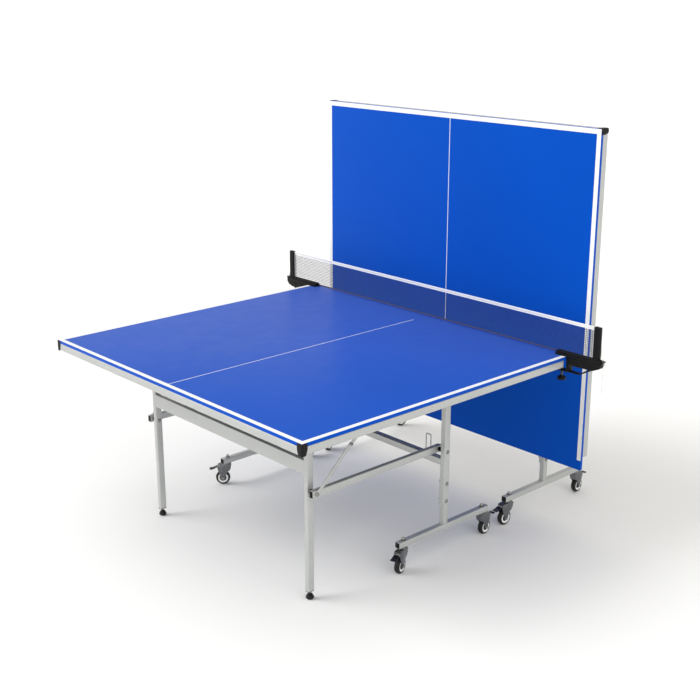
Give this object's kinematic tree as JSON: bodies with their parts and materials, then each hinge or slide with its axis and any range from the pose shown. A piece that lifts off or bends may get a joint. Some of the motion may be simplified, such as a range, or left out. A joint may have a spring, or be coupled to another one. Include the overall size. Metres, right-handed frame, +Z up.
{
  "type": "folding table tennis table",
  "caption": "Folding table tennis table in solo playback position: one half flat on legs, the other upright behind the net, each on a wheeled trolley.",
  "frame": {"origin": "on the floor, under the middle of the bounding box of the solo playback position", "axes": "+X runs along the table from the flat play half to the upright rebound half, +Y across it along the net, +Z up"},
  "size_m": [1.8082, 1.858, 1.616],
  "materials": {
    "board": "semi-matt blue paint with white lines on a wood-fibre board",
    "frame": "silver-grey powder coat",
    "stay": "silver-grey coated flat steel",
    "corner_cap": "moulded black",
    "foot_rubber": "matt black on a zinc-plated stem",
    "caster_housing": "pressed, zinc-plated",
    "tyre": "black tread on a pale hub",
    "pedal": "moulded black",
    "net": "knotless dark blue mesh with a white tape",
    "net_bracket": "moulded black, ribbed",
    "clamp_screw": "zinc-plated thread, black knob",
    "cord": "braided, light grey"
  },
  "bodies": {
    "play_trolley": {"play_undercarriage": "frame"},
    "play_top": {"play_board": "board", "play_apron": "frame", "play_corner_left": "corner_cap", "play_corner_right": "corner_cap", "net_mesh": "net", "net_bracket_left": "net_bracket", "net_bracket_right": "net_bracket", "net_cord_left": "cord", "net_cord_right": "cord"},
    "play_legs": {"play_leg_frame": "frame"},
    "play_link_left": {"play_link_bar_left": "frame"},
    "play_stay_upper_left_arm": {"play_stay_upper_left": "stay"},
    "play_stay_lower_left_arm": {"play_stay_lower_left": "stay"},
    "play_foot_left_body": {"play_foot_left": "foot_rubber"},
    "play_link_right": {"play_link_bar_right": "frame"},
    "play_stay_upper_right_arm": {"play_stay_upper_right": "stay"},
    "play_stay_lower_right_arm": {"play_stay_lower_right": "stay"},
    "play_foot_right_body": {"play_foot_right": "foot_rubber"},
    "play_outer_left_swivel": {"play_outer_left_caster_fork": "caster_housing"},
    "play_outer_left_wheel": {"play_outer_left_caster_wheel": "tyre"},
    "play_outer_left_brake": {"play_outer_left_brake_pedal": "pedal"},
    "play_outer_right_swivel": {"play_outer_right_caster_fork": "caster_housing"},
    "play_outer_right_wheel": {"play_outer_right_caster_wheel": "tyre"},
    "play_outer_right_brake": {"play_outer_right_brake_pedal": "pedal"},
    "play_inner_left_swivel": {"play_inner_left_caster_fork": "caster_housing"},
    "play_inner_left_wheel": {"play_inner_left_caster_wheel": "tyre"},
    "play_inner_left_brake": {"play_inner_left_brake_pedal": "pedal"},
    "play_inner_right_swivel": {"play_inner_right_caster_fork": "caster_housing"},
    "play_inner_right_wheel": {"play_inner_right_caster_wheel": "tyre"},
    "play_inner_right_brake": {"play_inner_right_brake_pedal": "pedal"},
    "rebound_trolley": {"rebound_undercarriage": "frame"},
    "rebound_top": {"rebound_board": "board", "rebound_apron": "frame", "rebound_corner_left": "corner_cap", "rebound_corner_right": "corner_cap"},
    "rebound_legs": {"rebound_leg_frame": "frame"},
    "rebound_link_left": {"rebound_link_bar_left": "frame"},
    "rebound_stay_upper_left_arm": {"rebound_stay_upper_left": "stay"},
    "rebound_stay_lower_left_arm": {"rebound_stay_lower_left": "stay"},
    "rebound_foot_left_body": {"rebound_foot_left": "foot_rubber"},
    "rebound_link_right": {"rebound_link_bar_right": "frame"},
    "rebound_stay_upper_right_arm": {"rebound_stay_upper_right": "stay"},
    "rebound_stay_lower_right_arm": {"rebound_stay_lower_right": "stay"},
    "rebound_foot_right_body": {"rebound_foot_right": "foot_rubber"},
    "rebound_outer_left_swivel": {"rebound_outer_left_caster_fork": "caster_housing"},
    "rebound_outer_left_wheel": {"rebound_outer_left_caster_wheel": "tyre"},
    "rebound_outer_left_brake": {"rebound_outer_left_brake_pedal": "pedal"},
    "rebound_outer_right_swivel": {"rebound_outer_right_caster_fork": "caster_housing"},
    "rebound_outer_right_wheel": {"rebound_outer_right_caster_wheel": "tyre"},
    "rebound_outer_right_brake": {"rebound_outer_right_brake_pedal": "pedal"},
    "rebound_inner_left_swivel": {"rebound_inner_left_caster_fork": "caster_housing"},
    "rebound_inner_left_wheel": {"rebound_inner_left_caster_wheel": "tyre"},
    "rebound_inner_left_brake": {"rebound_inner_left_brake_pedal": "pedal"},
    "rebound_inner_right_swivel": {"rebound_inner_right_caster_fork": "caster_housing"},
    "rebound_inner_right_wheel": {"rebound_inner_right_caster_wheel": "tyre"},
    "rebound_inner_right_brake": {"rebound_inner_right_brake_pedal": "pedal"},
    "net_screw_left": {"net_clamp_screw_left": "clamp_screw"},
    "net_screw_right": {"net_clamp_screw_right": "clamp_screw"}
  },
  "joints": [
    {"name": "play_fold", "type": "hinge", "parent": "play_trolley", "child": "play_top", "pos_m": [-0.01257, 0, 0.7245], "axis": [0, 1, 0], "range_deg": [0, 90]},
    {"name": "play_leg_fold", "type": "hinge", "parent": "play_top", "child": "play_legs", "pos_m": [-0.63257, 0, 0.7245], "axis": [0, 1, 0], "range_deg": [-90, 0]},
    {"name": "play_link_left_turn", "type": "hinge", "parent": "play_trolley", "child": "play_link_left", "pos_m": [-0.01257, 0.508, 0.4265], "axis": [0, 1, 0], "range_deg": [0, 90]},
    {"name": "play_stay_upper_left_turn", "type": "hinge", "parent": "play_top", "child": "play_stay_upper_left_arm", "pos_m": [-0.32327, 0.5235, 0.7135], "axis": [0, 1, 0], "range_deg": [-140.21, 0]},
    {"name": "play_stay_lower_left_turn", "type": "hinge", "parent": "play_legs", "child": "play_stay_lower_left_arm", "pos_m": [-0.63257, 0.52, 0.4265], "axis": [0, 1, 0], "range_deg": [0, 132.86]},
    {"name": "play_foot_left_height", "type": "slide", "parent": "play_legs", "child": "play_foot_left_body", "axis": [0, 0, 1], "range_m": [0, 0.008]},
    {"name": "play_link_right_turn", "type": "hinge", "parent": "play_trolley", "child": "play_link_right", "pos_m": [-0.01257, -0.508, 0.4265], "axis": [0, 1, 0], "range_deg": [0, 90]},
    {"name": "play_stay_upper_right_turn", "type": "hinge", "parent": "play_top", "child": "play_stay_upper_right_arm", "pos_m": [-0.32327, -0.5235, 0.7135], "axis": [0, 1, 0], "range_deg": [-140.21, 0]},
    {"name": "play_stay_lower_right_turn", "type": "hinge", "parent": "play_legs", "child": "play_stay_lower_right_arm", "pos_m": [-0.63257, -0.52, 0.4265], "axis": [0, 1, 0], "range_deg": [0, 132.86]},
    {"name": "play_foot_right_height", "type": "slide", "parent": "play_legs", "child": "play_foot_right_body", "axis": [0, 0, 1], "range_m": [0, 0.008]},
    {"name": "play_outer_left_swivel_turn", "type": "hinge", "parent": "play_trolley", "child": "play_outer_left_swivel", "pos_m": [-0.23407, 0.55, 0.1], "axis": [0, 0, 1], "continuous": true},
    {"name": "play_outer_left_wheel_spin", "type": "hinge", "parent": "play_outer_left_swivel", "child": "play_outer_left_wheel", "pos_m": [-0.2518, 0.56385, 0.032], "axis": [-0.6157, -0.788, 0], "continuous": true},
    {"name": "play_outer_left_brake_press", "type": "hinge", "parent": "play_outer_left_swivel", "child": "play_outer_left_brake", "pos_m": [-0.26875, 0.57709, 0.0855], "axis": [-0.6157, -0.788, 0], "range_deg": [0, 12]},
    {"name": "play_outer_right_swivel_turn", "type": "hinge", "parent": "play_trolley", "child": "play_outer_right_swivel", "pos_m": [-0.23407, -0.55, 0.1], "axis": [0, 0, 1], "continuous": true},
    {"name": "play_outer_right_wheel_spin", "type": "hinge", "parent": "play_outer_right_swivel", "child": "play_outer_right_wheel", "pos_m": [-0.25559, -0.55658, 0.032], "axis": [0.2924, -0.9563, 0], "continuous": true},
    {"name": "play_outer_right_brake_press", "type": "hinge", "parent": "play_outer_right_swivel", "child": "play_outer_right_brake", "pos_m": [-0.27615, -0.56286, 0.0855], "axis": [0.2924, -0.9563, 0], "range_deg": [0, 12]},
    {"name": "play_inner_left_swivel_turn", "type": "hinge", "parent": "play_trolley", "child": "play_inner_left_swivel", "pos_m": [0.20893, 0.55, 0.1], "axis": [0, 0, 1], "continuous": true},
    {"name": "play_inner_left_wheel_spin", "type": "hinge", "parent": "play_inner_left_swivel", "child": "play_inner_left_wheel", "pos_m": [0.23076, 0.54456, 0.032], "axis": [0.2419, 0.9703, 0], "continuous": true},
    {"name": "play_inner_left_brake_press", "type": "hinge", "parent": "play_inner_left_swivel", "child": "play_inner_left_brake", "pos_m": [0.25162, 0.53936, 0.0855], "axis": [0.2419, 0.9703, 0], "range_deg": [0, 12]},
    {"name": "play_inner_right_swivel_turn", "type": "hinge", "parent": "play_trolley", "child": "play_inner_right_swivel", "pos_m": [0.20893, -0.55, 0.1], "axis": [0, 0, 1], "continuous": true},
    {"name": "play_inner_right_wheel_spin", "type": "hinge", "parent": "play_inner_right_swivel", "child": "play_inner_right_wheel", "pos_m": [0.23134, -0.54804, 0.032], "axis": [-0.0872, 0.9962, 0], "continuous": true},
    {"name": "play_inner_right_brake_press", "type": "hinge", "parent": "play_inner_right_swivel", "child": "play_inner_right_brake", "pos_m": [0.25276, -0.54617, 0.0855], "axis": [-0.0872, 0.9962, 0], "range_deg": [0, 12]},
    {"name": "rebound_roll", "type": "slide", "parent": "play_trolley", "child": "rebound_trolley", "axis": [1, 0, 0], "range_m": [0, 0.41]},
    {"name": "rebound_fold", "type": "hinge", "parent": "rebound_trolley", "child": "rebound_top", "pos_m": [0.59993, 0, 0.7245], "axis": [0, 1, 0], "range_deg": [0, 90]},
    {"name": "rebound_leg_fold", "type": "hinge", "parent": "rebound_top", "child": "rebound_legs", "pos_m": [0.59993, 0, 1.3445], "axis": [0, 1, 0], "range_deg": [-90, 0]},
    {"name": "rebound_link_left_turn", "type": "hinge", "parent": "rebound_trolley", "child": "rebound_link_left", "pos_m": [0.59993, -0.508, 0.4265], "axis": [0, 1, 0], "range_deg": [0, 90]},
    {"name": "rebound_stay_upper_left_turn", "type": "hinge", "parent": "rebound_top", "child": "rebound_stay_upper_left_arm", "pos_m": [0.61093, -0.5235, 1.0352], "axis": [0, 1, 0], "range_deg": [-140.21, 0]},
    {"name": "rebound_stay_lower_left_turn", "type": "hinge", "parent": "rebound_legs", "child": "rebound_stay_lower_left_arm", "pos_m": [0.59993, -0.52, 1.0465], "axis": [0, 1, 0], "range_deg": [0, 132.86]},
    {"name": "rebound_foot_left_height", "type": "slide", "parent": "rebound_legs", "child": "rebound_foot_left_body", "axis": [0, 0, 1], "range_m": [0, 0.008]},
    {"name": "rebound_link_right_turn", "type": "hinge", "parent": "rebound_trolley", "child": "rebound_link_right", "pos_m": [0.59993, 0.508, 0.4265], "axis": [0, 1, 0], "range_deg": [0, 90]},
    {"name": "rebound_stay_upper_right_turn", "type": "hinge", "parent": "rebound_top", "child": "rebound_stay_upper_right_arm", "pos_m": [0.61093, 0.5235, 1.0352], "axis": [0, 1, 0], "range_deg": [-140.21, 0]},
    {"name": "rebound_stay_lower_right_turn", "type": "hinge", "parent": "rebound_legs", "child": "rebound_stay_lower_right_arm", "pos_m": [0.59993, 0.52, 1.0465], "axis": [0, 1, 0], "range_deg": [0, 132.86]},
    {"name": "rebound_foot_right_height", "type": "slide", "parent": "rebound_legs", "child": "rebound_foot_right_body", "axis": [0, 0, 1], "range_m": [0, 0.008]},
    {"name": "rebound_outer_left_swivel_turn", "type": "hinge", "parent": "rebound_trolley", "child": "rebound_outer_left_swivel", "pos_m": [0.82143, -0.55, 0.1], "axis": [0, 0, 1], "continuous": true},
    {"name": "rebound_outer_left_wheel_spin", "type": "hinge", "parent": "rebound_outer_left_swivel", "child": "rebound_outer_left_wheel", "pos_m": [0.84384, -0.54804, 0.032], "axis": [-0.0872, 0.9962, 0], "continuous": true},
    {"name": "rebound_outer_left_brake_press", "type": "hinge", "parent": "rebound_outer_left_swivel", "child": "rebound_outer_left_brake", "pos_m": [0.86526, -0.54617, 0.0855], "axis": [-0.0872, 0.9962, 0], "range_deg": [0, 12]},
    {"name": "rebound_outer_right_swivel_turn", "type": "hinge", "parent": "rebound_trolley", "child": "rebound_outer_right_swivel", "pos_m": [0.82143, 0.55, 0.1], "axis": [0, 0, 1], "continuous": true},
    {"name": "rebound_outer_right_wheel_spin", "type": "hinge", "parent": "rebound_outer_right_swivel", "child": "rebound_outer_right_wheel", "pos_m": [0.84294, 0.54342, 0.032], "axis": [0.2924, 0.9563, 0], "continuous": true},
    {"name": "rebound_outer_right_brake_press", "type": "hinge", "parent": "rebound_outer_right_swivel", "child": "rebound_outer_right_brake", "pos_m": [0.8635, 0.53714, 0.0855], "axis": [0.2924, 0.9563, 0], "range_deg": [0, 12]},
    {"name": "rebound_inner_left_swivel_turn", "type": "hinge", "parent": "rebound_trolley", "child": "rebound_inner_left_swivel", "pos_m": [0.37843, -0.55, 0.1], "axis": [0, 0, 1], "continuous": true},
    {"name": "rebound_inner_left_wheel_spin", "type": "hinge", "parent": "rebound_inner_left_swivel", "child": "rebound_inner_left_wheel", "pos_m": [0.35601, -0.54804, 0.032], "axis": [-0.0872, -0.9962, 0], "continuous": true},
    {"name": "rebound_inner_left_brake_press", "type": "hinge", "parent": "rebound_inner_left_swivel", "child": "rebound_inner_left_brake", "pos_m": [0.33459, -0.54617, 0.0855], "axis": [-0.0872, -0.9962, 0], "range_deg": [0, 12]},
    {"name": "rebound_inner_right_swivel_turn", "type": "hinge", "parent": "rebound_trolley", "child": "rebound_inner_right_swivel", "pos_m": [0.37843, 0.55, 0.1], "axis": [0, 0, 1], "continuous": true},
    {"name": "rebound_inner_right_wheel_spin", "type": "hinge", "parent": "rebound_inner_right_swivel", "child": "rebound_inner_right_wheel", "pos_m": [0.35642, 0.54532, 0.032], "axis": [0.2079, -0.9781, 0], "continuous": true},
    {"name": "rebound_inner_right_brake_press", "type": "hinge", "parent": "rebound_inner_right_swivel", "child": "rebound_inner_right_brake", "pos_m": [0.33539, 0.54085, 0.0855], "axis": [0.2079, -0.9781, 0], "range_deg": [0, 12]},
    {"name": "net_screw_left_undo", "type": "slide", "parent": "play_top", "child": "net_screw_left", "axis": [0, 0, -1], "range_m": [0, 0.018]},
    {"name": "net_screw_right_undo", "type": "slide", "parent": "play_top", "child": "net_screw_right", "axis": [0, 0, -1], "range_m": [0, 0.018]}
  ],
  "couplings": [
    {"joint": "play_leg_fold", "follows": "play_fold", "ratio": -1},
    {"joint": "play_link_left_turn", "follows": "play_fold", "ratio": 1},
    {"joint": "play_stay_upper_left_turn", "follows": "play_fold", "ratio": -1.5579},
    {"joint": "play_stay_lower_left_turn", "follows": "play_fold", "ratio": 1.4762},
    {"joint": "play_link_right_turn", "follows": "play_fold", "ratio": 1},
    {"joint": "play_stay_upper_right_turn", "follows": "play_fold", "ratio": -1.5579},
    {"joint": "play_stay_lower_right_turn", "follows": "play_fold", "ratio": 1.4762},
    {"joint": "rebound_leg_fold", "follows": "rebound_fold", "ratio": -1},
    {"joint": "rebound_link_left_turn", "follows": "rebound_fold", "ratio": 1},
    {"joint": "rebound_stay_upper_left_turn", "follows": "rebound_fold", "ratio": -1.5579},
    {"joint": "rebound_stay_lower_left_turn", "follows": "rebound_fold", "ratio": 1.4762},
    {"joint": "rebound_link_right_turn", "follows": "rebound_fold", "ratio": 1},
    {"joint": "rebound_stay_upper_right_turn", "follows": "rebound_fold", "ratio": -1.5579},
    {"joint": "rebound_stay_lower_right_turn", "follows": "rebound_fold", "ratio": 1.4762},
    {"joint": "rebound_roll", "follows": "rebound_fold", "m_per_rad": 0.26101}
  ]
}
